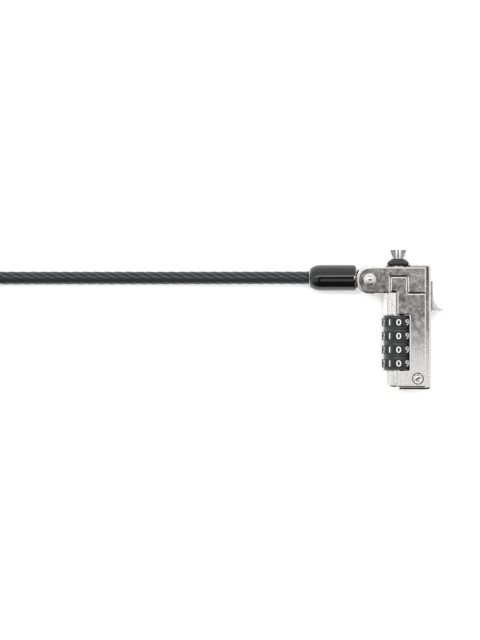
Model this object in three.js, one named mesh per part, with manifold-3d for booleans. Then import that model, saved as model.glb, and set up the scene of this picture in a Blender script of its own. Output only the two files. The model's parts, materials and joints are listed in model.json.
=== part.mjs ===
// Combination cable lock for a laptop's wedge slot. Millimetres, lying on its back, +Z up.
// +X runs across the body towards the thumb tab, +Y along the dials towards the wedge tip.
import * as THREE from "three";
import { mergeVertices } from "three/addons/utils/BufferGeometryUtils.js";
import Module from "manifold-3d";

const wasm = await Module();
wasm.setup();

// ---- driving dimensions ------------------------------------------------------------------
const axisZ = 6.7; // height of the dial, spindle and tip axis, which runs along Y at X 0
const faceZ = 13.0; // front faces of both covers
const coverZ = 11.6; // back faces of both covers
const floorZ = 11.3; // floor of the recess that the covers lie in
const rimZ = 12.4; // top of the rear housing's rim
const bodyRight = 12.5;
const bodyBottom = -0.3;
const bodyTop = 48.0;
const barrelTop = 37.0;
const barrelR = 5.85;
const coverLeft = -0.5;
const coverRight = 10.5;
const coverBottom = 0.6;
const tongueLeft = -3.1; // the front cover reaches up into the head cover
const tongueRight = 3.2;
const tongueTop = 43.1;
const shoulderY = 36.6;
const windowLow = 6.7;
const windowHigh = 28.6;
const windowRight = 4.25;
const pocketR = 6.6;
const bevel = 0.4;
const rimBevel = 0.7;
const bevelSlope = 0.6; // height of a bevel over its width
const coverGap = 0.35;

const pivotX = -11.2; // rivet that the cable's eyelet turns on
const pivotY = 42.2;
const earR = 4.9;
const earX = -11.0;
const earY = 41.95;
const earTopY = 46.85;
const rearEarZ = 3.9;
const frontEarZ = 9.3;
const blockLeft = -5.0; // the solid part of the head, between the ears, starts here

const dialPitch = 5.3;
const dialCount = 4;
const firstDialY = 25.6;
const dialBandR = 6.28;
const dialDigitR = 5.85;
const dialCollarR = 5.54;
const dialLength = 5.0;
const dialBandLength = 3.1;
const dialBoreR = 3.75;
const sleeveR = 3.6;

const travel = 3.5; // stroke of the thumb slide
const forkLow = 37.6;
const slideLow = 28.2;
const neckLow = 31.0;
const roomFrom = (low) => low - travel - 0.3; // where the room below a sliding piece has to start
const channelLeft = 8.2;
const channelRight = 11.2;

const tipBase = 50.7;
const tipTop = 53.8;
const jawPivotX = 1.25;
const jawPivotY = 46.0;

const cableR = 2.5;
const cableY = 42.9;
const cableZ = 6.5;
const coilMeanR = 27.5;
const coilLayers = 3;
const coilX = -192;
const coilY = cableY - coilMeanR - cableR * 2;
const coilHalf = coilLayers * cableR;
const coilBase = 1.2; // the tie passes under the coil
const ferruleHalf = 3.1;
const loopZ = coilBase + coilLayers * cableR * 2 + ferruleHalf + 0.3;

const mergeDistance = 1.37e-4; // no round number, so that no point sits on a rounding step

// ---- solids ------------------------------------------------------------------------------
// A closed three.js geometry as a manifold solid with its faces outward.
function solid(geometry) {
  const bare = geometry.clone();
  bare.deleteAttribute("normal");
  bare.deleteAttribute("uv");
  const merged = mergeVertices(bare, mergeDistance);
  const index = merged.index.array;
  const triangles = [];
  for (let i = 0; i < index.length; i += 3) {
    const [a, b, c] = [index[i], index[i + 1], index[i + 2]];
    if (a !== b && b !== c && c !== a) triangles.push(a, b, c);
  }
  const vertProperties = new Float32Array(merged.attributes.position.array);
  const make = (list) => {
    const triVerts = new Uint32Array(list);
    return new wasm.Manifold(new wasm.Mesh({ numProp: 3, vertProperties, triVerts }));
  };
  const first = make(triangles);
  return first.volume() > 0 ? first : make(triangles.reverse());
}

function geometryOf(manifold) {
  const mesh = manifold.getMesh();
  const geometry = new THREE.BufferGeometry();
  geometry.setAttribute("position", new THREE.BufferAttribute(mesh.vertProperties, 3));
  geometry.setIndex(new THREE.BufferAttribute(mesh.triVerts, 1));
  return geometry;
}

const join = (first, ...others) => others.reduce((sum, next) => sum.add(next), first);
const cut = (first, ...others) => others.reduce((rest, next) => rest.subtract(next), first);

function box(x0, x1, y0, y1, z0, z1) {
  const geometry = new THREE.BoxGeometry(x1 - x0, y1 - y0, z1 - z0);
  return solid(geometry.translate((x0 + x1) / 2, (y0 + y1) / 2, (z0 + z1) / 2));
}

function rodY(x, z, radius, y0, y1, sides = 24) {
  const geometry = new THREE.CylinderGeometry(radius, radius, y1 - y0, sides);
  return solid(geometry.translate(x, (y0 + y1) / 2, z));
}

function rodZ(x, y, radius, z0, z1, sides = 24) {
  const geometry = new THREE.CylinderGeometry(radius, radius, z1 - z0, sides).rotateX(Math.PI / 2);
  return solid(geometry.translate(x, y, (z0 + z1) / 2));
}

function rodX(y, z, radius, x0, x1, sides = 24) {
  const geometry = new THREE.CylinderGeometry(radius, radius, x1 - x0, sides).rotateZ(Math.PI / 2);
  return solid(geometry.translate((x0 + x1) / 2, y, z));
}

// A turned solid about the Y axis through the origin, from [radius, y] points.
function turned(profile, sides = 40) {
  const points = profile.map(([radius, y]) => new THREE.Vector2(radius, y));
  return solid(new THREE.LatheGeometry(points, sides));
}

// A closed outline from [x, y, corner radius] points.
function outline(points) {
  const shape = new THREE.Shape();
  const count = points.length;
  points.forEach(([x, y, radius = 0], i) => {
    const before = points[(i + count - 1) % count];
    const after = points[(i + 1) % count];
    const towards = (target) => {
      const step = new THREE.Vector2(target[0] - x, target[1] - y).setLength(radius);
      return new THREE.Vector2(x, y).add(step);
    };
    const start = radius > 0 ? towards(before) : new THREE.Vector2(x, y);
    if (i === 0) shape.moveTo(start.x, start.y);
    else shape.lineTo(start.x, start.y);
    if (radius > 0) {
      const end = towards(after);
      shape.quadraticCurveTo(x, y, end.x, end.y);
    }
  });
  shape.closePath();
  return shape;
}

function slab(shape, z0, z1, curveSegments = 5) {
  const geometry = new THREE.ExtrudeGeometry(shape, { depth: z1 - z0, bevelEnabled: false, curveSegments });
  return solid(geometry.translate(0, 0, z0));
}

// A slab whose front edges, and back edges if asked, are bevelled inside the outline.
function bevelledSlab(shape, z0, z1, size, both = false) {
  const height = size * bevelSlope;
  const geometry = new THREE.ExtrudeGeometry(shape, {
    depth: z1 - z0 - (both ? 2 : 1) * height,
    bevelThickness: height,
    bevelSize: size,
    bevelOffset: -size,
    bevelSegments: 1,
    curveSegments: 5,
  });
  const whole = solid(geometry.translate(0, 0, both ? z0 + height : z0));
  return both ? whole : whole.intersect(box(-60, 60, -60, 110, z0, z1 + 1));
}

// ---- materials ---------------------------------------------------------------------------
const metal = (color, roughness) => new THREE.MeshStandardMaterial({ color, roughness, metalness: 1 });
const dull = (color, roughness) => new THREE.MeshStandardMaterial({ color, roughness, metalness: 0 });
const nickel = metal(0xc9c6c2, 0.32);
const steel = metal(0xbfc1c4, 0.28);
const brass = metal(0xc8a45a, 0.35);
const springSteel = metal(0x8f9296, 0.3);
const blackDial = dull(0x17181a, 0.45);
const blackBoot = dull(0x0b0b0c, 0.22);
const blackSheath = dull(0x18191a, 0.35);
const bumperRubber = dull(0x242424, 0.75);
const tieFabric = dull(0x1c1c1e, 0.9);

const lock = new THREE.Group();

function add(name, shape, material, x = 0, y = 0, z = 0) {
  const mesh = new THREE.Mesh(shape.isBufferGeometry ? shape : geometryOf(shape), material);
  mesh.name = name;
  mesh.position.set(x, y, z);
  lock.add(mesh);
  return mesh;
}

// ---- castings ----------------------------------------------------------------------------
const screwPlaces = [[5.4, 43.4], [5.2, 31.2], [3.6, 2.6]];
const dowelPlaces = [[-3.4, 45.2], [9.9, 1.7]];
const resetX = 7.4;
const resetY = 3.8;

function rearHousing() {
  const blockShape = outline([
    [0, bodyBottom, 0], [bodyRight, bodyBottom, 2 * rimBevel], [bodyRight, bodyTop, 2 * rimBevel],
    [blockLeft, bodyTop, 0], [blockLeft, barrelTop, 0], [0, barrelTop, 0],
  ]);
  const block = bevelledSlab(blockShape, 0, rimZ, rimBevel, true);
  const foot = 1.6; // rounding of the barrel's lower end
  const footArc = Array.from({ length: 5 }, (_, i) => {
    const angle = (i / 4) * (Math.PI / 2);
    return [barrelR - foot + foot * Math.sin(angle), foot - foot * Math.cos(angle)];
  });
  const barrel = turned([[0, 0], ...footArc, [barrelR, barrelTop], [0, barrelTop]]).translate(0, 0, axisZ);
  const earShape = new THREE.Shape();
  earShape.moveTo(blockLeft + 1, earTopY);
  earShape.lineTo(earX, earTopY);
  earShape.absarc(earX, earY, earR, Math.PI / 2, (3 * Math.PI) / 2, false);
  earShape.lineTo(blockLeft + 1, earY - earR);
  earShape.closePath();
  const ear = slab(earShape, 0, rearEarZ, 16);
  const body = join(block, barrel, ear);

  const coverRecess = join(
    box(coverLeft - 0.4, bodyRight - 1, 0.4, 37.2, floorZ, 20),
    box(coverLeft - 0.4, coverLeft, 0.8, barrelTop + 1, 9.9, 20),
    box(blockLeft - 1, bodyRight - 1, 37.0, 47.2, floorZ, 20),
  );
  const dialPocket = join(
    rodY(0, axisZ, pocketR, windowLow, windowHigh, 48),
    box(-8, 2.6, windowLow, windowHigh, -1, axisZ),
    box(-8, windowRight, windowLow, windowHigh, axisZ, 20),
    box(5.0, 7.8, windowLow + 0.8, windowHigh - 0.8, 3.0, 20),
  );
  const spindleBores = join(
    rodY(0, axisZ, 1.85, 2.4, 32.7),
    rodY(0, axisZ, 2.75, 4.7, windowLow + 1),
    rodY(0, axisZ, 2.3, 32.6, 44.7),
    rodY(0, axisZ, 3.15, 44.6, bodyTop + 1),
    box(-2.3, 2.3, barrelTop, 44.7, axisZ, 20),
  );
  const bumperSeat = rodY(0, axisZ, 4.4, 47.1, bodyTop + 1, 40).add(box(-4.4, 4.4, 47.1, 49, axisZ, 20));
  const forkRoom = join(
    box(-2.6, channelRight, roomFrom(forkLow), 39.6, 4.2, 9.2),
    box(coverLeft, channelRight, roomFrom(forkLow), 39.6, 9, 20),
    box(-2.6, 0, barrelTop, 39.6, 9, 20),
  );
  const channel = join(
    box(channelLeft, channelRight, roomFrom(slideLow), 42.0, 4.2, 9.2),
    box(channelLeft + 0.2, 10.3, roomFrom(slideLow), 42.0, 9, 20),
    box(channelLeft + 0.2, bodyRight - 1, 37.4, 46.9, 6, 20),
    box(channelLeft + 0.1, 11.1, 8.9, 25, 5.2, 8.2),
    box(channelLeft + 0.3, 10.3, 8.9, 25, 8, 20),
    box(channelRight - 1, bodyRight + 1, roomFrom(neckLow), 41.9, 5.3, 8.1),
  );
  const resetRoom = join(
    box(5.3, 9.5, 1.3, 6.4, 4.3, 20),
    box(1.95, 5.4, 4.0, 6.4, 4.3, 6.5),
  );
  const bossRooms = screwPlaces.map(([x, y]) => join(
    rodZ(x, y, 1.8, 8.0, 20, 24), rodZ(x, y, 1.0, -1, 9, 24), rodZ(x, y, 2.0, -1, 1.6, 24)));
  const dowelHoles = dowelPlaces.map(([x, y]) => rodZ(x, y, 0.75, 8.5, 20, 16));
  const rivetHole = rodZ(pivotX, pivotY, 1.6, -1, 5).add(rodZ(pivotX, pivotY, 2.5, -1, 0.95));
  return cut(body, coverRecess, dialPocket, spindleBores, bumperSeat, forkRoom, channel, resetRoom,
    ...bossRooms, ...dowelHoles, rivetHole);
}

function boss(x, y, radius, low) {
  return rodZ(x, y, radius, low, coverZ + 0.2, 24);
}

function frontCover() {
  const shape = outline([
    [coverLeft, coverBottom, 0.8], [coverRight, coverBottom, 0.8], [coverRight, shoulderY, 0],
    [tongueRight, shoulderY, 1.1], [tongueRight, tongueTop, 0.9], [tongueLeft, tongueTop, 0.9],
    [tongueLeft, 37.6, 0], [coverLeft, 37.6, 1.0], [coverLeft, windowHigh, 0], [windowRight, windowHigh, 0.8],
    [windowRight, windowLow, 0.8], [coverLeft, windowLow, 0],
  ]);
  const plate = bevelledSlab(shape, coverZ, faceZ, bevel);
  const bosses = join(boss(5.2, 31.2, 1.5, 8.4), boss(3.6, 2.6, 1.5, 8.4), boss(resetX, resetY, 1.95, 8.6));
  return cut(
    join(plate, bosses),
    rodZ(5.2, 31.2, 0.8, 8, 12.2, 20), rodZ(3.6, 2.6, 0.8, 8, 12.2, 20),
    rodZ(resetX, resetY, 1.35, 8, 20), rodZ(resetX, resetY, 2.3, 11.9, 20, 48),
    rodZ(dowelPlaces[1][0], dowelPlaces[1][1], 0.75, 11, 12.3, 16),
  );
}

function headCover() {
  const [left, right] = [tongueLeft - coverGap, tongueRight + coverGap];
  const [low, high] = [shoulderY + coverGap, tongueTop + coverGap];
  const shape = new THREE.Shape();
  shape.moveTo(coverRight, earTopY);
  shape.lineTo(earX, earTopY);
  shape.absarc(earX, earY, earR, Math.PI / 2, (3 * Math.PI) / 2, false);
  shape.lineTo(left, earY - earR);
  shape.lineTo(left, high - 0.9);
  shape.quadraticCurveTo(left, high, left + 0.9, high);
  shape.lineTo(right - 0.9, high);
  shape.quadraticCurveTo(right, high, right, high - 0.9);
  shape.lineTo(right, low + 1.1);
  shape.quadraticCurveTo(right, low, right + 1.1, low);
  shape.lineTo(coverRight, low);
  shape.closePath();
  const plate = bevelledSlab(shape, coverZ, faceZ, bevel);
  const earShape = new THREE.Shape();
  earShape.moveTo(blockLeft - 1.3, earTopY - 0.001);
  earShape.lineTo(earX, earTopY - 0.001);
  earShape.absarc(earX, earY, earR - 0.001, Math.PI / 2, (3 * Math.PI) / 2, false);
  earShape.lineTo(blockLeft - 1.3, earY - earR + 0.001);
  earShape.closePath();
  const ear = slab(earShape, frontEarZ, coverZ + 0.3, 16);
  return cut(
    join(plate, ear, boss(5.4, 43.4, 1.5, 8.4)),
    rodZ(5.4, 43.4, 0.8, 8, 12.2, 20), rodZ(pivotX, pivotY, 1.6, 8, 20),
    rodZ(dowelPlaces[0][0], dowelPlaces[0][1], 0.75, 11, 12.3, 16),
  );
}

add("rear_housing", rearHousing(), nickel);
add("front_cover", frontCover(), nickel);
add("head_cover", headCover(), nickel);

const screw = cut(
  join(rodZ(0, 0, 0.75, 1.2, 11.6, 16), rodZ(0, 0, 1.65, 0.3, 1.3, 24)),
  box(-2, 2, -0.2, 0.2, 0, 0.75),
);
screwPlaces.forEach(([x, y], i) => add(`cover_screw_${i + 1}`, screw, steel, x, y));
const dowel = rodZ(0, 0, 0.6, 8.8, 12.1, 16);
dowelPlaces.forEach(([x, y], i) => add(`dowel_pin_${i + 1}`, dowel, steel, x, y));

// ---- cable pivot -------------------------------------------------------------------------
const rivetDome = turned([[0, 0], [1.85, 0], [1.85, 0.2], [1.5, 0.5], [0.8, 0.62], [0, 0.62]], 32)
  .rotate([90, 0, 0]).translate(0, 0, faceZ + 0.3);
add("pivot_rivet", join(rodZ(0, 0, 1.4, 0.5, faceZ + 0.4), rivetDome, rodZ(0, 0, 2.2, 0.2, 0.65)),
  steel, pivotX, pivotY);
add("rivet_washer", cut(rodZ(0, 0, 2.35, faceZ + 0.02, faceZ + 0.27, 40), rodZ(0, 0, 1.5, 12, 14)),
  steel, pivotX, pivotY);

const eyeletR = 5.8;
const eyeletZ0 = rearEarZ + 0.35;
const eyeletZ1 = frontEarZ - 0.35;
const eyelet = cut(
  join(
    rodZ(pivotX, pivotY, eyeletR, eyeletZ0, eyeletZ1, 56),
    rodX(cableY, cableZ, 2.1, -22.5, pivotX - 3, 24),
  ),
  rodZ(pivotX, pivotY, 2.0, 0, 20),
);
add("eyelet", eyelet, nickel);
add("eyelet_bush", cut(rodZ(0, 0, 1.88, eyeletZ0, eyeletZ1, 32), rodZ(0, 0, 1.55, 0, 20)), brass, pivotX, pivotY);

const bootEnd = -16.2;
const bootStart = -34.3;
const bootR = 5.05;
const bootOuter = turned([
  [0, bootStart], [3.1, bootStart], [3.9, -33.9], [4.6, -32.9], [4.95, -31.9], [bootR, -31.0],
  [bootR, bootEnd - 0.4], [bootR - 0.4, bootEnd], [0, bootEnd],
], 36).rotate([0, 0, -90]).translate(0, cableY, cableZ);
const boot = cut(
  bootOuter,
  rodX(cableY, cableZ, 3.9, -33.0, bootEnd + 1), rodX(cableY, cableZ, 2.3, bootStart - 1, -32),
  rodZ(pivotX, pivotY, eyeletR + 0.25, 0, 20, 56),
);
add("boot", boot, blackBoot);
add("crimp_sleeve", cut(rodX(cableY, cableZ, 3.6, -32.6, -18.2, 32), rodX(cableY, cableZ, 2.3, -33, -18, 32)),
  steel);
add("cable_core", rodX(cableY, cableZ, 2.0, bootStart + 0.1, -22.9, 24), steel);

// ---- cable -------------------------------------------------------------------------------
// A round bar along a route of [x, y, z] points.
function tube(points, radius, steps, sides, closed = false) {
  const section = new THREE.Shape();
  section.absarc(0, 0, radius, 0, 2 * Math.PI, false);
  const route = new THREE.CatmullRomCurve3(points.map((p) => new THREE.Vector3(...p)), closed, "centripetal");
  return new THREE.ExtrudeGeometry(section, {
    steps, curveSegments: sides / 2, bevelEnabled: false, extrudePath: route,
  });
}

const lyingZ = coilBase + cableR; // lowest turn of the coil
const runRoute = [
  [bootStart - 0.3, cableY, cableZ], [-42, cableY, 6.45], [-50, cableY, 6.2], [-62, cableY, 5.3],
  [-76, cableY, 4.0], [-90, cableY, 3.0], [-104, cableY, 2.65], [-120, cableY, 2.6],
  [-140, cableY, 2.65], [-158, cableY, 3.2], [coilX + 19, cableY, lyingZ],
];
add("cable_run", tube(runRoute, cableR, 20, 10), blackSheath);

const ringIn = coilMeanR - coilHalf;
const ringOut = coilMeanR + coilHalf;
const coilRing = turned([[ringIn, 0], [ringOut, 0], [ringOut, 2 * coilHalf], [ringIn, 2 * coilHalf], [ringIn, 0]], 48)
  .rotate([90, 0, 0]);
add("cable_coil", coilRing, blackSheath, coilX, coilY, coilBase);

// A strap round the coil's section, wide enough to clear the ring's curve.
function tie() {
  const [width, gap, thick] = [6, 0.6, 0.5];
  const half = coilHalf + gap;
  const outer = box(-half - thick, half + thick, -width / 2, width / 2, -gap - thick, 2 * coilHalf + gap + thick);
  return cut(outer, box(-half, half, -width, width, -gap, 2 * coilHalf + gap));
}
const tieAngle = THREE.MathUtils.degToRad(-50);
const tieX = coilX + coilMeanR * Math.cos(tieAngle);
const tieY = coilY + coilMeanR * Math.sin(tieAngle);
add("coil_tie", tie(), tieFabric, tieX, tieY, coilBase).rotation.z = tieAngle;

// The cable's end leaves the top turn in a bend of its own and makes an eye that lies on the coil,
// closed by a pressed ferrule.
const bendR = 20;
const bendX = coilX + coilMeanR - bendR;
const bendEnd = THREE.MathUtils.degToRad(125);
const bendPoint = (angle) => [bendX + bendR * Math.cos(angle), coilY + bendR * Math.sin(angle), loopZ];
const tailRoute = Array.from({ length: 6 }, (_, i) => bendPoint(THREE.MathUtils.degToRad(55) * (1 - i / 5)
  + bendEnd * (i / 5)));
add("cable_tail", tube(tailRoute, cableR, 8, 10), blackSheath);

const ferruleLength = 10;
const strandGap = 2.9; // from the ferrule's middle to each strand
const [ferruleX, ferruleY] = bendPoint(bendEnd);
const along = [-Math.sin(bendEnd), Math.cos(bendEnd)];
const across = [-along[1], along[0]];
const eyePlace = (u, v) => [
  ferruleX + along[0] * u + across[0] * v, ferruleY + along[1] * u + across[1] * v, loopZ,
];
const ferruleShape = outline([
  [-ferruleHalf, -ferruleHalf, 2.9], [2 * strandGap + ferruleHalf, -ferruleHalf, 2.9],
  [2 * strandGap + ferruleHalf, ferruleHalf, 2.9], [-ferruleHalf, ferruleHalf, 2.9],
]);
const ferruleGeometry = new THREE.ExtrudeGeometry(ferruleShape, {
  depth: ferruleLength - 1.6, bevelThickness: 0.5, bevelSize: 0.5, bevelOffset: -0.5, bevelSegments: 1,
  curveSegments: 4,
}).translate(0, 0, 0.8);
const ferruleTurn = new THREE.Matrix4().makeBasis(
  new THREE.Vector3(across[0], across[1], 0), new THREE.Vector3(0, 0, 1), new THREE.Vector3(...along, 0));
add("loop_ferrule", ferruleGeometry.applyMatrix4(ferruleTurn), steel, ferruleX, ferruleY, loopZ);
const eyeHalf = [[0.7, strandGap], [4, 3.3], [9, 6.1], [17, 11.8], [26, 14.6], [34, 11.2]];
const eyeRoute = [
  ...eyeHalf.map(([u, v]) => [u, strandGap - v]), [39, strandGap], ...eyeHalf.toReversed().map(([u, v]) => [u, strandGap + v]),
].map(([u, v]) => eyePlace(ferruleLength + u, v));
add("end_loop", tube(eyeRoute, cableR, 26, 10), blackSheath);

// ---- tip ---------------------------------------------------------------------------------
const noseBush = cut(
  rodY(0, axisZ, 2.95, 44.9, 48.3, 32),
  box(-2.3, 2.3, 44, 49, axisZ - 1.05, axisZ + 1.05),
  rodZ(jawPivotX, jawPivotY, 0.42, axisZ - 2, axisZ + 2, 16),
  rodZ(-jawPivotX, jawPivotY, 0.42, axisZ - 2, axisZ + 2, 16),
);
add("nose_bush", noseBush, steel);

const bumperProfile = [
  [0, 47.25], [2.75, 47.25], [4.1, 48.15], [4.25, 48.4], [4.1, 48.7], [3.5, 49.4], [2.9, 50.0], [2.45, 50.35],
  [0, 50.35],
];
const bumper = cut(
  turned(bumperProfile, 36).translate(0, 0, axisZ),
  rodY(0, axisZ, 3.05, 47, 48.5, 32).intersect(box(-4, 4, 47, 48.45, 0, 20)),
  box(-2.1, 2.1, 47, 51, axisZ - 1.05, axisZ + 1.05),
);
add("rubber_bumper", bumper, bumperRubber);

function jaw(side) {
  const stem = outline([
    [0.52, 45.3], [1.95, 45.3], [1.95, 46.6], [1.75, tipBase - 0.1], [2.1, tipBase], [3.25, tipTop - 0.3, 0],
    [3.15, tipTop, 0], [0.95, tipTop], [0.95, 50.2], [0.55, 46.6],
  ].map(([x, y, r]) => [side * x, y, r]));
  const flat = slab(stem, axisZ - 1.5, axisZ + 1.5);
  const thinStem = join(
    box(-4, 4, tipBase - 0.1, tipTop + 1, axisZ - 1.5, axisZ + 1.5),
    box(-4, 4, 45, tipBase, axisZ - 0.75, axisZ + 0.75),
  );
  return cut(flat.intersect(thinStem), rodZ(side * jawPivotX, jawPivotY, 0.42, 0, 20, 16));
}

for (const [name, side] of [["left", -1], ["right", 1]]) {
  add(`jaw_${name}`, jaw(side), steel);
  add(`jaw_pin_${name}`, rodZ(0, 0, 0.33, axisZ - 1.9, axisZ + 1.9, 12), steel, side * jawPivotX, jawPivotY);
}

const bladeBottom = 41.4;
const blade = cut(
  box(-0.4, 0.4, bladeBottom, tipTop, axisZ - 0.75, axisZ + 0.75),
  rodX(42.3, axisZ, 0.4, -1, 1, 12),
);
add("spreader_blade", blade, steel);

// ---- dial stack --------------------------------------------------------------------------
const dialY = Array.from({ length: dialCount }, (_, i) => firstDialY - i * dialPitch);

// Ten digit facets with a raised grip between each two, seen along the dial's axis.
function dialBand() {
  const shape = new THREE.Shape();
  const knots = [[-10, dialDigitR], [0, dialDigitR], [10, dialDigitR], [13.5, dialBandR], [18, dialBandR],
    [22.5, dialBandR]];
  for (let digit = 0; digit < 10; digit++) {
    knots.forEach(([offset, radius], i) => {
      const angle = THREE.MathUtils.degToRad(90 + digit * 36 + offset);
      const [x, y] = [radius * Math.cos(angle), radius * Math.sin(angle)];
      if (digit === 0 && i === 0) shape.moveTo(x, y);
      else shape.lineTo(x, y);
    });
  }
  shape.closePath();
  return slab(shape, -dialBandLength / 2, dialBandLength / 2).rotate([90, 0, 0]);
}

const dial = cut(
  join(dialBand(), rodY(0, 0, dialCollarR, -dialLength / 2, dialLength / 2, 40)),
  rodY(0, 0, dialBoreR, -4, 4, 32),
);
const webLength = 1.2;
const webLow = -2.4;
const gateSleeve = cut(
  rodY(0, 0, sleeveR, webLow, 2.4, 32),
  rodY(0, 0, 2.75, webLow + webLength, 3, 32),
  rodY(0, 0, 1.95, -3, 3, 32),
  box(-0.65, 0.65, -3, 3, -2.75, 0),
);
dialY.forEach((y, i) => {
  add(`dial_${i + 1}`, dial, blackDial, 0, y, axisZ);
  add(`gate_sleeve_${i + 1}`, gateSleeve, brass, 0, y, axisZ);
});

const axleTube = cut(
  rodY(0, axisZ, 1.75, 2.7, 32.3),
  rodY(0, axisZ, 1.3, 2, 33),
  box(-0.6, 0.6, 4.5, 29.5, axisZ - 3, axisZ),
);
add("axle_tube", axleTube, steel);

const finLow = webLow + webLength + 0.3;
const fins = dialY.map((y) => box(-0.4, 0.4, y + finLow, y + finLow + 1, axisZ - 2.5, axisZ - 0.9));
const spindle = cut(
  join(
    rodY(0, axisZ, 1.1, 8.0, 41.0, 24), ...fins,
    rodY(0, axisZ, 2.0, 36.5, 37.3), rodY(0, axisZ, 2.0, 39.6, 40.4), rodY(0, axisZ, 1.7, 40.3, 43.4),
  ),
  box(-0.55, 0.55, bladeBottom - 0.3, 44, axisZ - 3, axisZ + 3),
  rodX(42.3, axisZ, 0.4, -2, 2, 12),
);
add("spindle", spindle, steel);
add("blade_pin", rodX(42.3, axisZ, 0.3, -1.6, 1.6, 12), steel);

// Each nose of the leaf rests by a dial's grip.
function detentSpring() {
  const leaf = box(7.2, 7.45, 7.8, 27.5, 3.4, 9.4);
  const noses = dialY.map((y) => rodZ(7.1, y, 0.55, 4.2, 5.2, 12));
  return join(leaf, ...noses);
}
add("detent_spring", detentSpring(), springSteel);

// ---- thumb slide -------------------------------------------------------------------------
const tabShape = new THREE.Shape();
tabShape.moveTo(12.75, 29.5);
tabShape.lineTo(15.4, 29.5);
tabShape.lineTo(17.4, 30.1);
tabShape.quadraticCurveTo(17.7, 30.4, 17.3, 30.7);
tabShape.quadraticCurveTo(13.5, 31.6, 13.45, 36.4);
tabShape.lineTo(13.45, 41.3);
tabShape.lineTo(13.15, 41.6);
tabShape.lineTo(12.75, 41.6);
tabShape.closePath();
const fork = cut(box(-1.9, 9, forkLow, 39.3, 4.5, 8.9), box(-3, 1.4, 37, 40, axisZ - 1.35, axisZ + 1.35));
// The tab's front face falls away from the body, and its foot has a chamfer underneath.
const tabTilt = 22;
const tabSlope = box(-1, 8, 20, 50, 0, 4).rotate([0, tabTilt, 0]).translate(13.1, 0, 9.8);
const footChamfer = box(-2, 8, -2, 4, 0, 4).rotate([41, tabTilt, 0]).translate(13.1, 29.5, 9.1);
const slideBody = join(
  box(8.5, 10.9, slideLow, 39.3, 4.5, 8.9),
  box(10.5, 12.8, neckLow, 41.5, 5.6, 7.8),
  fork,
  cut(slab(tabShape, 3.6, 9.8, 6), tabSlope, footChamfer),
);
add("thumb_slide", slideBody, nickel);

const springX = 9.7;
const springLow = 9.3;
const springHigh = 27.9;
const springTurns = 9;
class Helix extends THREE.Curve {
  getPoint(t) {
    const angle = t * springTurns * 2 * Math.PI;
    const y = springLow + 0.2 + t * (springHigh - springLow - 0.4);
    return new THREE.Vector3(springX + 1.05 * Math.cos(angle), y, axisZ + 1.05 * Math.sin(angle));
  }
}
const wire = new THREE.Shape();
wire.absarc(0, 0, 0.18, 0, 2 * Math.PI, false);
add("return_spring", new THREE.ExtrudeGeometry(wire, {
  steps: springTurns * 10, curveSegments: 2, bevelEnabled: false, extrudePath: new Helix(),
}), springSteel);
add("spring_guide", rodY(springX, axisZ, 0.7, 9.1, 21.5, 16), steel);

// ---- code change -------------------------------------------------------------------------
const camOffset = 0.57;
const camSlot = box(-1.3, 1.3, -0.35, 0.35, 12.35, 14);
const resetScrew = cut(
  join(
    rodZ(0, 0, 1.95, 12.0, 12.92, 40), rodZ(0, 0, 1.2, 6.8, 12.2, 24),
    rodZ(camOffset * Math.SQRT1_2, -camOffset * Math.SQRT1_2, 0.5, 4.8, 7.0, 16),
  ),
  camSlot.rotate([0, 0, 35]), rodZ(0, 0, 1.25, 12.7, 13, 32),
);
add("reset_screw", resetScrew, nickel, resetX, resetY);
const camX = resetX + camOffset * Math.SQRT1_2;
const camY = resetY - camOffset * Math.SQRT1_2;
const resetSlider = cut(
  join(box(5.7, 9.2, 1.6, 5.4, 4.6, 6.2), box(2.3, 6, 4.3, 5.4, 4.6, 6.2)),
  box(camX - 0.75, camX + 0.95, camY - 0.58, camY + 0.58, 4, 7),
);
add("reset_slider", resetSlider, brass);

// The origin is under the middle of the lock itself, without the cable, on the surface it lies on.
const cordNames = [
  "boot", "crimp_sleeve", "cable_core", "cable_run", "cable_coil", "coil_tie", "cable_tail", "loop_ferrule",
  "end_loop",
];
const bounds = new THREE.Box3();
lock.children.filter((mesh) => !cordNames.includes(mesh.name)).forEach((mesh) => bounds.expandByObject(mesh));
const middle = bounds.getCenter(new THREE.Vector3());
lock.position.set(-middle.x, -middle.y, -bounds.min.z);

const part = new THREE.Group();
part.add(lock);
export default part;
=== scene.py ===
# Combination cable lock for a laptop, lying on its back: detailed pieces, materials, light and camera.
import json
import math

import bmesh
import bpy
from mathutils import Matrix, Vector


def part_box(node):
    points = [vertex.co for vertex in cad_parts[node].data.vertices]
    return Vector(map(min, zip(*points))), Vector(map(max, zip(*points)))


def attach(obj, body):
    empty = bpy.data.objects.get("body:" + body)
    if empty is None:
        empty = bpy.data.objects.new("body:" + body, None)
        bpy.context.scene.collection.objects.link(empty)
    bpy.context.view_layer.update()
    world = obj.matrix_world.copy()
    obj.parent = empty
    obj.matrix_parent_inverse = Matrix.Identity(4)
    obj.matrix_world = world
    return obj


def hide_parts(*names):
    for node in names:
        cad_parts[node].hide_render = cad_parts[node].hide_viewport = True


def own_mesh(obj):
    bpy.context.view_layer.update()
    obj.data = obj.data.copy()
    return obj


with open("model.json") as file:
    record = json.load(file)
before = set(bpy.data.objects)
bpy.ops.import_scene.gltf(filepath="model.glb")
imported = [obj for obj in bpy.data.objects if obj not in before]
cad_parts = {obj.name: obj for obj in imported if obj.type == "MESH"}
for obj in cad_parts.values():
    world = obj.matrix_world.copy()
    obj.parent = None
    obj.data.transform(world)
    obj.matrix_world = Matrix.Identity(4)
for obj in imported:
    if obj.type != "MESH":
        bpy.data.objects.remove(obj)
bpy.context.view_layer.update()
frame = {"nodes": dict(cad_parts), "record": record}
nodes = frame["nodes"]

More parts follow.
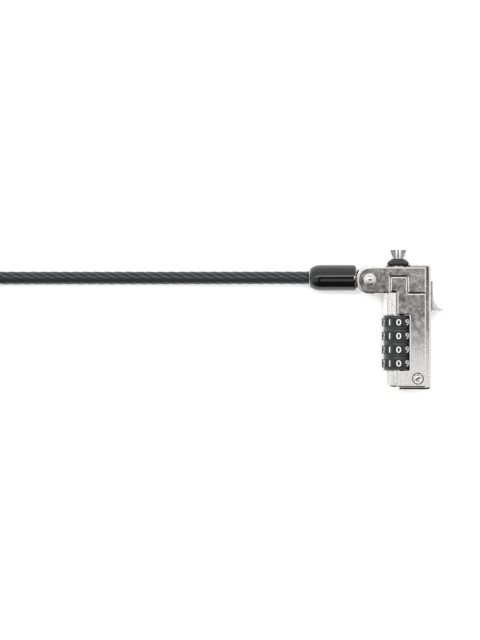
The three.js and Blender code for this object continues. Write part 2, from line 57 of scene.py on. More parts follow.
# ---- driving dimensions, in the lock's own millimetres -------------------------------------
# X 0 is on the dials' axis, Y 0 is BODY_FOOT above the body's lower end, Z 0 is the table.
MM = 0.001
BODY_FOOT = 0.3
PIVOT = (-11.2, 42.2)

# The dials: the digits' flats, the grips between them, the collars and the bore.
DIGIT_R, BAND_R, COLLAR_R, DIAL_BORE_R = 5.85, 6.28, 5.54, 3.75
BAND_HALF, DIAL_HALF = 1.55, 2.6
DIGITS = 10
DIGIT_STEP = 2 * math.pi / DIGITS
DIGIT_SIZE, DIGIT_WIDENING, PAINT_HALF, PAINT_LIFT = 3.3, 1.28, 0.05, 0.01
GRIP_HALF_ANGLE, GRIP_SLOPE_ANGLE = math.radians(7.0), math.radians(1.8)
TOOTH_ANGLE, TOOTH_DEPTH = math.radians(3.6), 0.16

# The cable: its sheath, its strands and the places of its coil, ferrule and loop.
CABLE_R = 2.5
CABLE_Y, CABLE_Z = 42.9, 6.5
STRANDS, LAY_LENGTH, STRAND_DEPTH = 7, 29.0, 0.36
RING_SPACING, RING_SIDES = 1.1, 64
COIL_MEAN_R, COIL_BASE = 27.5, 1.2
COIL_X, COIL_Y = -192.0, CABLE_Y - COIL_MEAN_R - 2 * CABLE_R
COIL_STEPS, COIL_EASE_STEPS = 72, 14
LYING_Z = COIL_BASE + CABLE_R
TOP_Z = LYING_Z + 4 * CABLE_R
FERRULE_HALF, FERRULE_LENGTH = 3.1, 10
LOOP_Z = COIL_BASE + 6 * CABLE_R + FERRULE_HALF + 0.3
BEND_R = 20.0
BEND_X = COIL_X + COIL_MEAN_R - BEND_R
BEND_END, BEND_RISE = math.radians(125), math.radians(58)
BOOT_START, BOOT_END, BOOT_R = -34.3, -16.4, 5.05

# The reset screw: the angle of its slot and how far its pin is off its axis.
SLOT_ANGLE, ECCENTRICITY = math.radians(35), 0.57

# The widths that the CAD nodes' sharp edges are rounded to.
FINE_EDGE = 0.06
SOFT_EDGES = {
    "rear_housing": 0.15, "front_cover": 0.14, "head_cover": 0.14, "thumb_slide": 0.4, "jaw_left": 0.15,
    "jaw_right": 0.15, "loop_ferrule": 0.3, "coil_tie": 0.1,
}

# The view: the point in its middle, and the height of the picture there.
VIEW_CENTRE, VIEW_LEVEL, VIEW_HEIGHT = (-61.4, 26.5), 10, 248.0
CAMERA_DISTANCE = 1500.0

# The sky: its darkest level, then the sides that are lit. Each side is a direction component, where the
# light starts, where it is full, and how bright it is there. SKY_FOOT darkens it towards the lower end:
# a direction component, where it is dark, where it is full again, and the share of light where it is dark.
SKY_DARK = 0.075
SKY_SIDES = (
    ("Y", 0.14, 0.34, 0.95), ("X", -0.16, -0.36, 0.92), ("X", 0.3, 0.6, 0.9),
    ("Y", 0.6, 0.85, 1.15), ("X", -0.6, -0.85, 1.15), ("X", 0.7, 0.88, 1.1),
)
SKY_FOOT = ("Y", -0.7, -0.4, 0.15)

axle_low, axle_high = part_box("axle_tube")
ORIGIN = Vector(((axle_low.x + axle_high.x) / 2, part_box("rear_housing")[0].y + BODY_FOOT * MM, 0))
AXIS_Z = (axle_low.z + axle_high.z) / 2 / MM
FACE_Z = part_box("front_cover")[1].z / MM


def mm(x, y, z):
    """A point in the lock's millimetres, in the row frame."""
    return ORIGIN + Vector((x, y, z)) * MM


def in_mm(point):
    """A point of the row frame, in the lock's millimetres."""
    return (point - ORIGIN) / MM


def ease(t):
    """A smooth step from 0 to 1."""
    return t * t * (3 - 2 * t)


# ---- mesh building -----------------------------------------------------------------------
def make_object(name, mesh, material, smooth_angle=35):
    """An object in the scene, shaded smooth up to smooth_angle degrees, or all over with None."""
    obj = bpy.data.objects.new(name, mesh)
    bpy.context.scene.collection.objects.link(obj)
    mesh.materials.append(material)
    mesh.shade_smooth()
    if smooth_angle is not None:
        mesh.set_sharp_from_angle(angle=math.radians(smooth_angle))
    return obj


def ring_mesh(name, rows, caps=False, marks=None):
    """A mesh from rings of points in the row frame, joined ring to ring.

    marks has a number for each point, kept as the attribute groove."""
    count = len(rows[0])
    vertices = [tuple(p) for row in rows for p in row]
    faces = []
    for start in range(0, (len(rows) - 1) * count, count):
        for j in range(count):
            after = (j + 1) % count
            faces.append((start + j, start + after, start + count + after, start + count + j))
    if caps:
        faces.append(tuple(range(count))[::-1])
        faces.append(tuple(range((len(rows) - 1) * count, len(rows) * count)))
    mesh = bpy.data.meshes.new(name)
    mesh.from_pydata(vertices, [], faces)
    if marks:
        groove = mesh.attributes.new("groove", "FLOAT", "POINT")
        groove.data.foreach_set("value", [m for row in marks for m in row])
    tidy(mesh)
    return mesh


def tidy(mesh):
    """Merges doubled points and turns every face outward."""
    work = bmesh.new()
    work.from_mesh(mesh)
    bmesh.ops.remove_doubles(work, verts=work.verts, dist=1e-7)
    bmesh.ops.dissolve_degenerate(work, edges=work.edges, dist=1e-8)
    bmesh.ops.recalc_face_normals(work, faces=work.faces)
    work.to_mesh(mesh)
    work.free()


def lathe(name, profile, axis, centre, sides=96, radius_at=None):
    """A turned body. profile is a list of (radius, distance along the axis) in millimetres.

    radius_at gives the true radius from the angle and the profile's radius, where the body isn't round."""
    rows = []
    for radius, along in profile:
        row = []
        for k in range(sides):
            angle = 2 * math.pi * k / sides
            r = radius_at(angle, radius) if radius_at else radius
            u, v = r * math.cos(angle), r * math.sin(angle)
            offset = {"x": (along, u, v), "y": (v, along, u), "z": (u, v, along)}[axis]
            row.append(mm(*(c + o for c, o in zip(centre, offset))))
        rows.append(row)
    return ring_mesh(name, rows)


def rounded(profile, radius):
    """The profile with every corner but its ends rounded, as points of quadratic curves."""
    steps = 4
    points = [profile[0]]
    for before, corner, after in zip(profile, profile[1:], profile[2:]):
        b, c, a = Vector(before), Vector(corner), Vector(after)
        reach = min(radius, (b - c).length * 0.45, (a - c).length * 0.45)
        start, end = c + (b - c).normalized() * reach, c + (a - c).normalized() * reach
        for k in range(steps + 1):
            t = k / steps
            points.append(tuple(start.lerp(c, t).lerp(c.lerp(end, t), t)))
    points.append(profile[-1])
    return points


def cut_with(obj, cutter):
    """Subtracts the cutter mesh from obj, for good."""
    tool = bpy.data.objects.new("cutter", cutter)
    bpy.context.scene.collection.objects.link(tool)
    change = obj.modifiers.new("cut", "BOOLEAN")
    change.operation, change.solver, change.object = "DIFFERENCE", "EXACT", tool
    bpy.context.view_layer.update()
    result = bpy.data.meshes.new_from_object(obj.evaluated_get(bpy.context.evaluated_depsgraph_get()))
    obj.modifiers.remove(change)
    obj.data = result
    bpy.data.objects.remove(tool)
    obj.data.shade_smooth()
    obj.data.set_sharp_from_angle(angle=math.radians(35))


def block(name, low, high):
    """A box between two corners, in the lock's millimetres."""
    mesh = bpy.data.meshes.new(name)
    work = bmesh.new()
    bmesh.ops.create_cube(work, size=1)
    low, high = mm(*low), mm(*high)
    for vertex in work.verts:
        vertex.co = Vector((low[i] + (high[i] - low[i]) * (vertex.co[i] + 0.5) for i in range(3)))
    work.to_mesh(mesh)
    work.free()
    return mesh


def soften(obj, width, angle=35, weld=False):
    """Rounds the sharp edges of obj by width millimetres, as a modifier."""
    if weld:
        join = obj.modifiers.new("weld", "WELD")
        join.merge_threshold = 2e-6
    edge = obj.modifiers.new("bevel", "BEVEL")
    edge.width = width * MM
    edge.segments = 2
    edge.limit_method = "ANGLE"
    edge.angle_limit = math.radians(angle)
    edge.use_clamp_overlap = True
    edge.harden_normals = True


def closed_ends(mesh):
    """Fills the open ends of a turned body."""
    work = bmesh.new()
    work.from_mesh(mesh)
    bmesh.ops.holes_fill(work, edges=work.edges)
    bmesh.ops.recalc_face_normals(work, faces=work.faces)
    work.to_mesh(mesh)
    work.free()
    return mesh


# ---- materials ---------------------------------------------------------------------------
def shader(name, color, roughness, metallic=0.0, **inputs):
    """A new material with its node tree and its Principled shader."""
    material = bpy.data.materials.new(name)
    material.use_nodes = True
    bsdf = material.node_tree.nodes["Principled BSDF"]
    bsdf.inputs["Base Color"].default_value = (*color, 1)
    bsdf.inputs["Roughness"].default_value = roughness
    bsdf.inputs["Metallic"].default_value = metallic
    for key, value in inputs.items():
        bsdf.inputs[key].default_value = value
    return material, material.node_tree, bsdf


def noise(tree, scale, detail=4, roughness=0.55, stretch=(1, 1, 1)):
    """Noise in object space, in cycles per millimetre along each axis."""
    place = tree.nodes.new("ShaderNodeTexCoord")
    mapping = tree.nodes.new("ShaderNodeMapping")
    mapping.inputs["Scale"].default_value = [scale * s / MM for s in stretch]
    texture = tree.nodes.new("ShaderNodeTexNoise")
    texture.inputs["Scale"].default_value = 1
    texture.inputs["Detail"].default_value = detail
    texture.inputs["Roughness"].default_value = roughness
    tree.links.new(place.outputs["Object"], mapping.inputs["Vector"])
    tree.links.new(mapping.outputs["Vector"], texture.inputs["Vector"])
    return texture.outputs["Fac"]


def ramp(tree, factor, low, high, values):
    """Values from a factor between low and high: two numbers or two colours."""
    node = tree.nodes.new("ShaderNodeMapRange")
    node.inputs["From Min"].default_value, node.inputs["From Max"].default_value = low, high
    tree.links.new(factor, node.inputs["Value"])
    if isinstance(values[0], (int, float)):
        node.inputs["To Min"].default_value, node.inputs["To Max"].default_value = values
        return node.outputs["Result"]
    mix = tree.nodes.new("ShaderNodeMix")
    mix.data_type = "RGBA"
    mix.inputs["A"].default_value = (*values[0], 1)
    mix.inputs["B"].default_value = (*values[1], 1)
    tree.links.new(node.outputs["Result"], mix.inputs["Factor"])
    return mix.outputs["Result"]


def math_node(tree, operation, *values):
    """The result of a math node on linked sockets and plain numbers."""
    node = tree.nodes.new("ShaderNodeMath")
    node.operation = operation
    for socket, value in zip(node.inputs, values):
        if isinstance(value, float):
            socket.default_value = value
        else:
            tree.links.new(value, socket)
    return node.outputs[0]


def bump(tree, bsdf, height, depth, strength):
    """A relief of depth millimetres from a height of 0 to 1."""
    node = tree.nodes.new("ShaderNodeBump")
    node.inputs["Strength"].default_value = strength
    node.inputs["Distance"].default_value = depth * MM
    tree.links.new(height, node.inputs["Height"])
    tree.links.new(node.outputs["Normal"], bsdf.inputs["Normal"])


def plated_casting():
    """Satin nickel over die-cast zinc: slow waves, fine pits and small changes of gloss."""
    material, tree, bsdf = shader("plated_casting", (0.80, 0.79, 0.775), 0.24, 1.0)
    waves = noise(tree, 0.45, detail=5, roughness=0.6)
    grains = noise(tree, 2.2, detail=4, roughness=0.7)
    relief = math_node(tree, "MULTIPLY_ADD", grains, 0.55, waves)
    tree.links.new(ramp(tree, waves, 0.35, 0.7, (0.15, 0.29)), bsdf.inputs["Roughness"])
    tree.links.new(ramp(tree, grains, 0.35, 0.65, ((0.61, 0.595, 0.58), (0.87, 0.85, 0.83))),
                   bsdf.inputs["Base Color"])
    bump(tree, bsdf, relief, 0.035, 0.7)
    return material


def bright_steel():
    """Turned and polished steel, with a faint uneven gloss."""
    material, tree, bsdf = shader("bright_steel", (0.73, 0.73, 0.73), 0.2, 1.0)
    turned = noise(tree, 1.6, detail=3)
    tree.links.new(ramp(tree, turned, 0.3, 0.7, (0.14, 0.3)), bsdf.inputs["Roughness"])
    bump(tree, bsdf, turned, 0.008, 0.6)
    return material


def spring_steel():
    """Darker drawn wire."""
    material, tree, bsdf = shader("spring_steel", (0.45, 0.46, 0.48), 0.3, 1.0)
    bump(tree, bsdf, noise(tree, 3, detail=2), 0.004, 0.5)
    return material


def turned_brass():
    """Brass with an uneven gloss."""
    material, tree, bsdf = shader("turned_brass", (0.75, 0.56, 0.27), 0.3, 1.0)
    tree.links.new(ramp(tree, noise(tree, 1.2), 0.3, 0.7, (0.22, 0.4)), bsdf.inputs["Roughness"])
    return material


def boot_plastic():
    """Glossy black moulding with a slight waviness."""
    material, tree, bsdf = shader("boot_plastic", (0.004, 0.004, 0.0045), 0.12, IOR=1.6)
    bump(tree, bsdf, noise(tree, 0.35, detail=2), 0.02, 0.25)
    return material


def cable_sheath():
    """Dark plastic sheath whose specular level is turned down in the grooves between the strands: painted
    shade in the grooves.
    """
    material, tree, bsdf = shader("cable_sheath", (0.022, 0.023, 0.024), 0.24)
    grain = noise(tree, 0.8, detail=3)
    tree.links.new(ramp(tree, grain, 0.3, 0.7, (0.1, 0.17)), bsdf.inputs["Roughness"])
    bump(tree, bsdf, grain, 0.006, 0.3)
    # Painted shade: the specular level drops from 0.75 on the strands' crests to 0.04 deep in the grooves, so
    # the grooves render dark.
    groove = tree.nodes.new("ShaderNodeAttribute")
    groove.attribute_name = "groove"
    gloss = ramp(tree, groove.outputs["Fac"], 0.1, 0.6, (0.75, 0.04))
    tree.links.new(gloss, bsdf.inputs["Specular IOR Level"])
    return material


def bumper_rubber():
    """Dull black rubber with a fine grain."""
    material, tree, bsdf = shader("bumper_rubber", (0.014, 0.014, 0.014), 0.62)
    bump(tree, bsdf, noise(tree, 4.0, detail=3), 0.02, 0.6)
    return material


def dial_plastic():
    """Black dial plastic with a fine grain."""
    material, tree, bsdf = shader("dial_plastic", (0.016, 0.017, 0.018), 0.36)
    bump(tree, bsdf, noise(tree, 5.0, detail=3), 0.012, 0.5)
    return material


def digit_paint():
    """Off-white paint, slightly uneven."""
    material, tree, bsdf = shader("digit_paint", (0.66, 0.66, 0.65), 0.5)
    tree.links.new(ramp(tree, noise(tree, 2.5), 0.3, 0.7, ((0.6, 0.6, 0.59), (0.72, 0.72, 0.71))),
                   bsdf.inputs["Base Color"])
    return material


def strap_weave():
    """Dark woven strap."""
    material, tree, bsdf = shader("strap_weave", (0.02, 0.02, 0.022), 0.85)
    bump(tree, bsdf, noise(tree, 3.0, detail=2, stretch=(1, 4, 1)), 0.05, 0.8)
    return material


CASTING = plated_casting()
STEEL = bright_steel()
SPRING = spring_steel()
BRASS = turned_brass()
BOOT = boot_plastic()
SHEATH = cable_sheath()
RUBBER = bumper_rubber()
DIAL = dial_plastic()
PAINT = digit_paint()
STRAP = strap_weave()

SLOT_MATERIALS = {
    "nickel": CASTING, "steel": STEEL, "spring_steel": SPRING, "brass": BRASS, "dial_plastic": DIAL,
    "boot_plastic": BOOT, "cable_sheath": SHEATH, "bumper_rubber": RUBBER, "tie_fabric": STRAP,
}


# ---- CAD nodes that stay -----------------------------------------------------------------
def dress_cad_nodes():
    """Every CAD node gets its slot's material, smooth shading and soft edges."""
    for row in frame["record"]["subparts"]:
        obj = nodes[row["node"]]
        obj.data.materials.clear()
        obj.data.materials.append(SLOT_MATERIALS[row["material_slot"]])
        if "custom_normal" in obj.data.attributes:
            obj.data.attributes.remove(obj.data.attributes["custom_normal"])
        obj.data.shade_smooth()
        soften(obj, SOFT_EDGES.get(row["node"], FINE_EDGE), angle=25, weld=True)


# ---- dials -------------------------------------------------------------------------------
def grip(angle, radius):
    """The band's radius: ten flats for the digits, with a toothed grip between each two."""
    if radius <= COLLAR_R + 0.01:
        return radius
    offset = (angle + DIGIT_STEP / 2) % DIGIT_STEP - DIGIT_STEP / 2
    from_grip = DIGIT_STEP / 2 - abs(offset)
    rise = min(1.0, max(0.0, (GRIP_HALF_ANGLE - from_grip) / GRIP_SLOPE_ANGLE))
    tooth = TOOTH_DEPTH * (0.5 - 0.5 * math.cos(from_grip * 2 * math.pi / TOOTH_ANGLE)) if rise >= 1 else 0
    return radius + (BAND_R - DIGIT_R) * ease(rise) - tooth


def dial_mesh(name, centre_y):
    """A dial with a gripped band between two collars."""
    profile = [
        (DIAL_BORE_R, -DIAL_HALF), (COLLAR_R - 0.14, -DIAL_HALF), (COLLAR_R - 0.04, -DIAL_HALF + 0.04),
        (COLLAR_R, -DIAL_HALF + 0.14), (COLLAR_R, -BAND_HALF - 0.06), (DIGIT_R - 0.1, -BAND_HALF),
        (DIGIT_R, -BAND_HALF + 0.12), (DIGIT_R, BAND_HALF - 0.12), (DIGIT_R - 0.1, BAND_HALF),
        (COLLAR_R, BAND_HALF + 0.06), (COLLAR_R, DIAL_HALF - 0.14), (COLLAR_R - 0.04, DIAL_HALF - 0.04),
        (COLLAR_R - 0.14, DIAL_HALF), (DIAL_BORE_R, DIAL_HALF), (DIAL_BORE_R, -DIAL_HALF),
    ]
    return lathe(name, profile, "y", (0, centre_y, AXIS_Z), sides=400, radius_at=grip)


def digit_mesh(name, digit, centre_y):
    """One painted digit, wrapped round the dial at its own place."""
    letter = bpy.data.curves.new(name, "FONT")
    letter.body = str(digit)
    letter.align_x, letter.align_y = "CENTER", "CENTER"
    letter.size, letter.extrude, letter.resolution_u = DIGIT_SIZE, PAINT_HALF, 6
    holder = bpy.data.objects.new(name, letter)
    bpy.context.scene.collection.objects.link(holder)
    bpy.context.view_layer.update()
    mesh = bpy.data.meshes.new_from_object(holder.evaluated_get(bpy.context.evaluated_depsgraph_get()))
    bpy.data.objects.remove(holder)
    work = bmesh.new()
    work.from_mesh(mesh)
    bmesh.ops.remove_doubles(work, verts=work.verts, dist=1e-5)
    too_straight = 0.5
    long_edges = [edge for edge in work.edges if edge.calc_length() > too_straight]
    bmesh.ops.subdivide_edges(work, edges=long_edges, cuts=3)
    bmesh.ops.triangulate(work, faces=work.faces)
    xs = [v.co.x for v in work.verts]
    ys = [v.co.y for v in work.verts]
    mid_x, mid_y = (min(xs) + max(xs)) / 2, (min(ys) + max(ys)) / 2
    for vertex in work.verts:
        x, y, z = vertex.co
        angle = (x - mid_x) * DIGIT_WIDENING / DIGIT_R - digit * DIGIT_STEP
        radius = DIGIT_R + PAINT_LIFT + z
        vertex.co = mm(radius * math.sin(angle), centre_y + (y - mid_y), AXIS_Z + radius * math.cos(angle))
    work.to_mesh(mesh)
    work.free()
    return mesh


def dials():
    """The four dials with their digits."""
    for number in range(1, 5):
        low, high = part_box(f"dial_{number}")
        centre_y = in_mm((low + high) / 2).y
        wheel = make_object(f"number_dial_{number}", dial_mesh("dial", centre_y), DIAL, 30)
        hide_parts(f"dial_{number}")
        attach(wheel, f"dial_{number}")
        work = bmesh.new()
        for digit in range(DIGITS):
            part = digit_mesh("digit", digit, centre_y)
            work.from_mesh(part)
            bpy.data.meshes.remove(part)
        mesh = bpy.data.meshes.new("digits")
        work.to_mesh(mesh)
        work.free()
        paint = make_object(f"digits_{number}", mesh, PAINT, 30)
        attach(paint, f"dial_{number}")


# ---- cable -------------------------------------------------------------------------------
# The same route points as the CAD cable's stretch that isn't coiled.
RUN_ROUTE = [
    (BOOT_START - 0.3, CABLE_Y, CABLE_Z), (-42, CABLE_Y, 6.45), (-50, CABLE_Y, 6.2), (-62, CABLE_Y, 5.3),
    (-76, CABLE_Y, 4.0), (-90, CABLE_Y, 3.0), (-104, CABLE_Y, 2.65), (-120, CABLE_Y, 2.6),
    (-140, CABLE_Y, 2.65), (-158, CABLE_Y, 3.2), (COIL_X + 19, CABLE_Y, LYING_Z),
]
# The last points before the wound coil, on the line that touches its outer turn.
COIL_LEAD = [(COIL_X + 19, CABLE_Y, LYING_Z - 0.1), (COIL_X + 8, CABLE_Y, LYING_Z)]


def coil_points():
    """The coil's full turns, in three layers, wound from the outer turn inward and back."""
    radii = [COIL_MEAN_R + step * 2 * CABLE_R for step in (1, 0, -1, -1, 0, 1, 1, 0)]
    layers = [0, 0, 0, 1, 1, 1, 2, 2]
    points = []
    for turn in range(len(radii) - 1):
        radius, layer, after = radii[turn], layers[turn], turn + 1
        for k in range(COIL_STEPS):
            blend = ease(max(0.0, (k - (COIL_STEPS - COIL_EASE_STEPS)) / COIL_EASE_STEPS))
            r = radius + (radii[after] - radius) * blend
            z = LYING_Z + 2 * CABLE_R * (layer + (layers[after] - layer) * blend)
            angle = math.pi / 2 + 2 * math.pi * k / COIL_STEPS
            points.append((COIL_X + r * math.cos(angle), COIL_Y + r * math.sin(angle), z))
    return points


def tail_points():
    """Three quarters of a turn in the top layer, then up and round into the ferrule."""
    points = []
    for k in range(COIL_STEPS * 3 // 4):
        angle = math.pi / 2 + 2 * math.pi * k / COIL_STEPS
        points.append((COIL_X + COIL_MEAN_R * math.cos(angle), COIL_Y + COIL_MEAN_R * math.sin(angle), TOP_Z))
    steps = 25
    for k in range(1, steps + 1):
        angle = BEND_END * k / steps
        z = TOP_Z + (LOOP_Z - TOP_Z) * ease(min(1.0, angle / BEND_RISE))
        points.append((BEND_X + BEND_R * math.cos(angle), COIL_Y + BEND_R * math.sin(angle), z))
    return points


def smooth_route(points, spacing):
    """Evenly spaced points on a smooth curve through points, in the lock's millimetres."""
    knots = [Vector(p) for p in points]
    dense = []
    for i in range(len(knots) - 1):
        p0, p1 = knots[max(i - 1, 0)], knots[i]
        p2, p3 = knots[i + 1], knots[min(i + 2, len(knots) - 1)]
        steps = max(2, int((p2 - p1).length / 0.4))
        for k in range(steps):
            t = k / steps
            dense.append(0.5 * (2 * p1 + (p2 - p0) * t + (2 * p0 - 5 * p1 + 4 * p2 - p3) * t * t
                                + (3 * p1 - p0 - 3 * p2 + p3) * t ** 3))
    dense.append(knots[-1])
    total = sum((b - a).length for a, b in zip(dense, dense[1:]))
    count = max(2, round(total / spacing))
    step, even, travelled, i = total / count, [dense[0]], 0.0, 0
    for n in range(1, count):
        while travelled + (dense[i + 1] - dense[i]).length < n * step:
            travelled += (dense[i + 1] - dense[i]).length
            i += 1
        gap = (dense[i + 1] - dense[i]).length
        even.append(dense[i].lerp(dense[i + 1], (n * step - travelled) / gap))
    even.append(dense[-1])
    return even, total


def strand_tube(name, route):
    """A sheath drawn tight over twisted strands. Gives the mesh, its middle line and its length."""
    points, total = smooth_route(route, RING_SPACING)
    up = Vector((0, 0, 1))
    rows, marks = [], []
    travelled = 0.0
    for i, point in enumerate(points):
        ahead, behind = points[min(i + 1, len(points) - 1)], points[max(i - 1, 0)]
        tangent = (ahead - behind).normalized()
        side = tangent.cross(up).normalized()
        top = side.cross(tangent)
        travelled += (point - behind).length if i else 0.0
        twist = -2 * math.pi * travelled / LAY_LENGTH
        row, marked = [], []
        for k in range(RING_SIDES):
            angle = 2 * math.pi * k / RING_SIDES
            crest = abs(math.cos(STRANDS / 2 * (angle - twist)))
            radius = CABLE_R - STRAND_DEPTH * (1 - crest)
            offset = side * (radius * math.cos(angle)) + top * (radius * math.sin(angle))
            row.append(mm(*(point + offset)))
            # How deep each point lies in a groove; the sheath's material uses it to paint shade into the
            # grooves.
            marked.append(1 - crest)
        rows.append(row)
        marks.append(marked)
    mesh = ring_mesh(name, rows, caps=True, marks=marks)
    return mesh, [mm(*p) for p in points], total * MM


def eye_route():
    """The loop at the cable's far end, from the ferrule round and back into it."""
    start = (BEND_X + BEND_R * math.cos(BEND_END), COIL_Y + BEND_R * math.sin(BEND_END))
    along = (-math.sin(BEND_END), math.cos(BEND_END))
    across = (-along[1], along[0])
    gap = 2.9
    half = [(0.7, gap), (4, 3.3), (9, 6.1), (17, 11.8), (26, 14.6), (34, 11.2)]
    outline = [(u, gap - v) for u, v in half] + [(39, gap)] + [(u, gap + v) for u, v in reversed(half)]
    route = []
    for u, v in outline:
        reach = FERRULE_LENGTH + u
        x = start[0] + along[0] * reach + across[0] * v
        y = start[1] + along[1] * reach + across[1] * v
        route.append((x, y, LOOP_Z))
    return route


def cable():
    """The cable from the boot to the ferrule, with the loop beyond it."""
    route = RUN_ROUTE[:-1] + COIL_LEAD + coil_points() + tail_points()
    mesh, path, length = strand_tube("cable", route)
    line = make_object("cable", mesh, SHEATH, None)
    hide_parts("cable_run", "cable_coil", "cable_tail")
    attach(line, "cable")
    mesh, _, _ = strand_tube("eye", eye_route())
    eye = make_object("cable_eye", mesh, SHEATH, None)
    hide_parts("end_loop")
    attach(eye, "cable")


# ---- boot, bumper and small metal pieces -------------------------------------------------
def boot():
    """The hollow moulding round the cable's end, cut back round the eyelet."""
    clear_r = 6.05
    outer = [
        (2.55, -32.0), (2.55, BOOT_START + 0.25), (2.7, BOOT_START + 0.04), (3.0, BOOT_START), (3.4, -34.2),
        (3.85, -33.8), (4.3, -33.15), (4.7, -32.3), (4.95, -31.3), (BOOT_R, -30.2), (BOOT_R, BOOT_END - 0.9),
        (4.9, BOOT_END - 0.35), (4.5, BOOT_END), (3.9, BOOT_END), (3.9, -32.0), (2.55, -32.0),
    ]
    mesh = lathe("boot", rounded(outer, 0.25), "x", (0, CABLE_Y, CABLE_Z))
    piece = make_object("boot_moulding", mesh, BOOT)
    disc = [(0.001, -1), (clear_r, -1), (clear_r, 20), (0.001, 20)]
    cut_with(piece, closed_ends(lathe("disc", disc, "z", (*PIVOT, 0), sides=128)))
    soften(piece, 0.12)
    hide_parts("boot")
    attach(piece, "cable")


def bumper():
    """The domed rubber ring between the body and the wedge tip."""
    profile = [
        (2.0, 47.25), (2.75, 47.25), (4.12, 48.12), (4.26, 48.4), (4.18, 48.75), (3.8, 49.2), (3.3, 49.6),
        (2.75, 49.97), (2.3, 50.24), (2.0, 50.34), (2.0, 47.25),
    ]
    piece = make_object("bumper_ring", lathe("bumper", rounded(profile, 0.3), "y", (0, 0, AXIS_Z)), RUBBER)
    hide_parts("rubber_bumper")
    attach(piece, "housing")


def rivet():
    """The pivot's rivet with its ringed head, and the washer under it."""
    top = FACE_Z + 0.3
    outer = [
        (0.0005, 0.2), (2.1, 0.2), (2.2, 0.3), (2.2, 0.65), (1.4, 0.65), (1.4, top), (1.85, top),
        (1.85, top + 0.16), (1.6, top + 0.4), (1.3, top + 0.5), (1.15, top + 0.38), (1.0, top + 0.5),
        (0.6, top + 0.58), (0.0005, top + 0.6),
    ]
    head = make_object("rivet", lathe("rivet", rounded(outer, 0.1), "z", (*PIVOT, 0)), STEEL)
    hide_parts("pivot_rivet")
    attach(head, "housing")
    low, high = FACE_Z + 0.02, FACE_Z + 0.27
    ring = [
        (1.6, low), (2.35, low), (2.35, low + 0.06), (2.0, high - 0.04), (1.9, high), (1.6, high), (1.6, low),
    ]
    washer = make_object("rivet_ring", lathe("washer", rounded(ring, 0.05), "z", (*PIVOT, 0)), STEEL)
    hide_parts("rivet_washer")
    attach(washer, "housing")


def return_spring():
    """The coil spring behind the thumb slide, as long as the CAD spring's box."""
    low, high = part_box("return_spring")
    middle = in_mm((low + high) / 2)
    turns, wire = 9, 0.18
    radius = (high.x - low.x) / 2 / MM - wire
    length = (high.y - low.y) / MM - 2 * wire
    steps, sides = turns * 28, 12
    along = Vector((0, 1, 0))
    rows = []
    for i in range(steps + 1):
        t = i / steps
        angle = 2 * math.pi * turns * t
        outward = Vector((math.cos(angle), 0, math.sin(angle)))
        centre = middle + along * (length * (t - 0.5)) + outward * radius
        rows.append([
            mm(*(centre + outward * wire * math.cos(a) + along * wire * math.sin(a)))
            for a in (2 * math.pi * k / sides for k in range(sides))
        ])
    piece = make_object("slide_spring", ring_mesh("spring", rows, caps=True), SPRING)
    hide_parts("return_spring")
    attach(piece, "housing")
    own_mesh(piece)


def slanted_block(name, x, y, half_length, half_width, bottom, top):
    """A box about x, y, turned to the angle of the reset screw's slot."""
    mesh = block(name, (x - half_length, y - half_width, bottom), (x + half_length, y + half_width, top))
    middle = Matrix.Translation(mm(x, y, 0))
    mesh.transform(middle @ Matrix.Rotation(SLOT_ANGLE, 4, "Z") @ middle.inverted())
    return mesh


def reset_screw():
    """The code-change screw: a rimmed head with a slot and its eccentric pin, with a dark rubber ring round
    the head and a dark block in the slot as painted shade.
    """
    low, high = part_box("reset_screw")
    centre = in_mm((low + high) / 2)
    x, y, top = centre.x, centre.y, high.z / MM
    head = [
        (0.0005, 6.8), (1.2, 6.8), (1.2, 12.0), (1.95, 12.0), (1.95, top - 0.16), (1.85, top - 0.02),
        (1.7, top), (1.5, top - 0.04), (1.36, top - 0.24), (1.22, top - 0.28), (1.06, top - 0.06),
        (0.9, top - 0.02), (0.0005, top - 0.02),
    ]
    piece = make_object("reset_head", closed_ends(lathe("reset", head, "z", (x, y, 0))), CASTING)
    cut_with(piece, slanted_block("slot", x, y, 0.95, 0.3, top - 0.5, top + 1))
    soften(piece, 0.05)
    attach(piece, "reset_screw")
    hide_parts("reset_screw")
    shift = ECCENTRICITY * math.sqrt(0.5)
    pin = [(0.0005, 4.8), (0.4, 4.8), (0.5, 4.9), (0.5, 6.9), (0.0005, 6.9)]
    cam = make_object("reset_cam", lathe("cam", pin, "z", (x + shift, y - shift, 0), sides=48), STEEL)
    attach(cam, "reset_screw")
    # A dark rubber ring in the groove round the head, standing in for the shade in that groove: painted
    # shade.
    ring = [(2.08, 12.0), (2.27, 12.0), (2.27, top - 0.2), (2.08, top - 0.2), (2.08, 12.0)]
    shade_ring = make_object("reset_shade_ring", lathe("shade_ring", rounded(ring, 0.05), "z", (x, y, 0)), RUBBER)
    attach(shade_ring, "housing")
    # A dark rubber block low in the slot, standing in for the shade in the slot: painted shade.
    shadow = slanted_block("fill", x, y, 0.9, 0.25, top - 0.49, top - 0.36)
    slot_shade = make_object("reset_slot_shade", shadow, RUBBER)
    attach(slot_shade, "reset_screw")


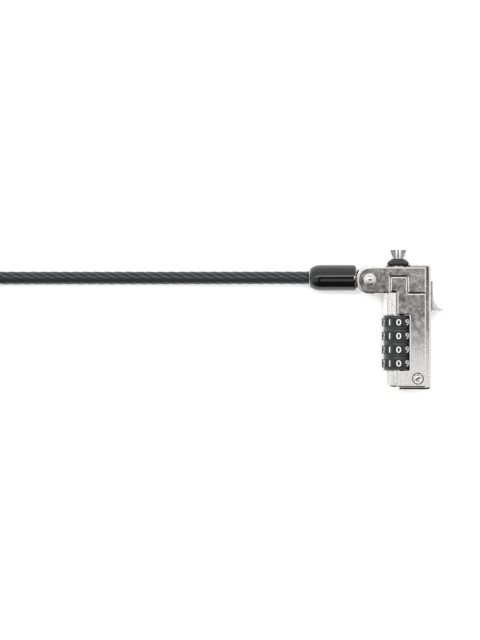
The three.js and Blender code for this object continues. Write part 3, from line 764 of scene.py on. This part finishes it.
def eyelet():
    """The ring round the rivet, with a full round edge, and its shank inside the boot."""
    low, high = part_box("eyelet")
    bottom, top = low.z / MM, high.z / MM
    edge, bore, fillet, steps = 5.8, 1.95, 1.1, 8
    ring = [(bore, bottom), (edge - fillet, bottom)]
    for z_mid, start in ((bottom + fillet, -90), (top - fillet, 0)):
        for k in range(steps + 1):
            angle = math.radians(start + 90 * k / steps)
            ring.append((edge - fillet + fillet * math.cos(angle), z_mid + fillet * math.sin(angle)))
    ring += [(bore, top), (bore, bottom)]
    piece = make_object("eyelet_ring", lathe("eyelet", ring, "z", (*PIVOT, 0), sides=160), STEEL)
    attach(piece, "cable")
    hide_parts("eyelet")
    root = PIVOT[0] - 4.9
    shank = [(0.001, -22.5), (1.9, -22.5), (2.1, -22.3), (2.1, root), (0.001, root)]
    stem = make_object("eyelet_shank", lathe("shank", shank, "x", (0, CABLE_Y, CABLE_Z), sides=64), STEEL)
    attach(stem, "cable")


# ---- floor, light and camera -------------------------------------------------------------
def floor():
    """A plain pale floor that lies at the table's height."""
    mesh = bpy.data.meshes.new("floor")
    half = 3.0
    corners = [(-half, -half, 0), (half, -half, 0), (half, half, 0), (-half, half, 0)]
    mesh.from_pydata(corners, [], [(0, 1, 2, 3)])
    material, _, _ = shader("pale_floor", (0.93, 0.93, 0.93), 0.9)
    material.node_tree.nodes["Principled BSDF"].inputs["Specular IOR Level"].default_value = 0.0
    obj = bpy.data.objects.new("floor", mesh)
    bpy.context.scene.collection.objects.link(obj)
    mesh.materials.append(material)


def sky():
    """A bright surround on three sides, from close overhead, that is dark towards the lock's lower end."""
    world = bpy.data.worlds.new("studio")
    bpy.context.scene.world = world
    world.use_nodes = True
    tree = world.node_tree
    background = tree.nodes["Background"]
    place = tree.nodes.new("ShaderNodeTexCoord")
    split = tree.nodes.new("ShaderNodeSeparateXYZ")
    tree.links.new(place.outputs["Generated"], split.inputs["Vector"])
    brightness = SKY_DARK
    for axis, start, full, level in SKY_SIDES:
        side = ramp(tree, split.outputs[axis], start, full, (SKY_DARK, level))
        brightness = math_node(tree, "MAXIMUM", brightness, side)
    axis, dark, full, level = SKY_FOOT
    shade = ramp(tree, split.outputs[axis], dark, full, (level, 1.0))
    tree.links.new(math_node(tree, "MULTIPLY", brightness, shade), background.inputs["Strength"])
    background.inputs["Color"].default_value = (1, 1, 1, 1)


def soft_box(name, position, size, radiance, aim):
    """A rectangular light that shows at the given brightness in a mirror, where 1 is white."""
    data = bpy.data.lights.new(name, "AREA")
    data.shape = "RECTANGLE"
    data.size, data.size_y = size
    data.energy = radiance * math.pi * size[0] * size[1]
    obj = bpy.data.objects.new(name, data)
    obj.location = position
    obj.rotation_mode = "QUATERNION"
    obj.rotation_quaternion = (Vector(aim) - Vector(position)).to_track_quat("-Z", "Y")
    obj.visible_camera = False
    bpy.context.scene.collection.objects.link(obj)


def lights():
    """A wide fill from overhead, two soft boxes over the body and a strip for the boot and the cable."""
    sun = bpy.data.lights.new("fill", "SUN")
    sun.energy, sun.angle = 2.6, math.radians(60)
    obj = bpy.data.objects.new("fill", sun)
    obj.visible_glossy = False
    bpy.context.scene.collection.objects.link(obj)
    soft_box("low_end_box", mm(10, -8, 130), (0.1, 0.05), 0.9, mm(10, -8, 0))
    soft_box("right_box", mm(52, 82, 190), (0.08, 0.08), 0.3, mm(52, 82, 0))
    soft_box("strip", mm(-60, 200, 640), (0.9, 0.09), 4.0, mm(-40, 43, 6))


def camera():
    """Straight above, from far enough for an almost parallel view."""
    data = bpy.data.cameras.new("camera")
    data.sensor_width = 36
    data.lens = data.sensor_width * CAMERA_DISTANCE / VIEW_HEIGHT
    data.clip_start, data.clip_end = 0.05, 20
    obj = bpy.data.objects.new("camera", data)
    obj.location = mm(*VIEW_CENTRE, VIEW_LEVEL + CAMERA_DISTANCE)
    bpy.context.scene.collection.objects.link(obj)
    bpy.context.scene.camera = obj


# ---- make everything ---------------------------------------------------------------------
camera()
cable()
dress_cad_nodes()
dials()
boot()
eyelet()
rivet()
return_spring()
reset_screw()
bumper()
floor()
sky()
lights()
bpy.context.scene.view_settings.view_transform = "Standard"
bpy.context.scene.view_settings.look = "None"
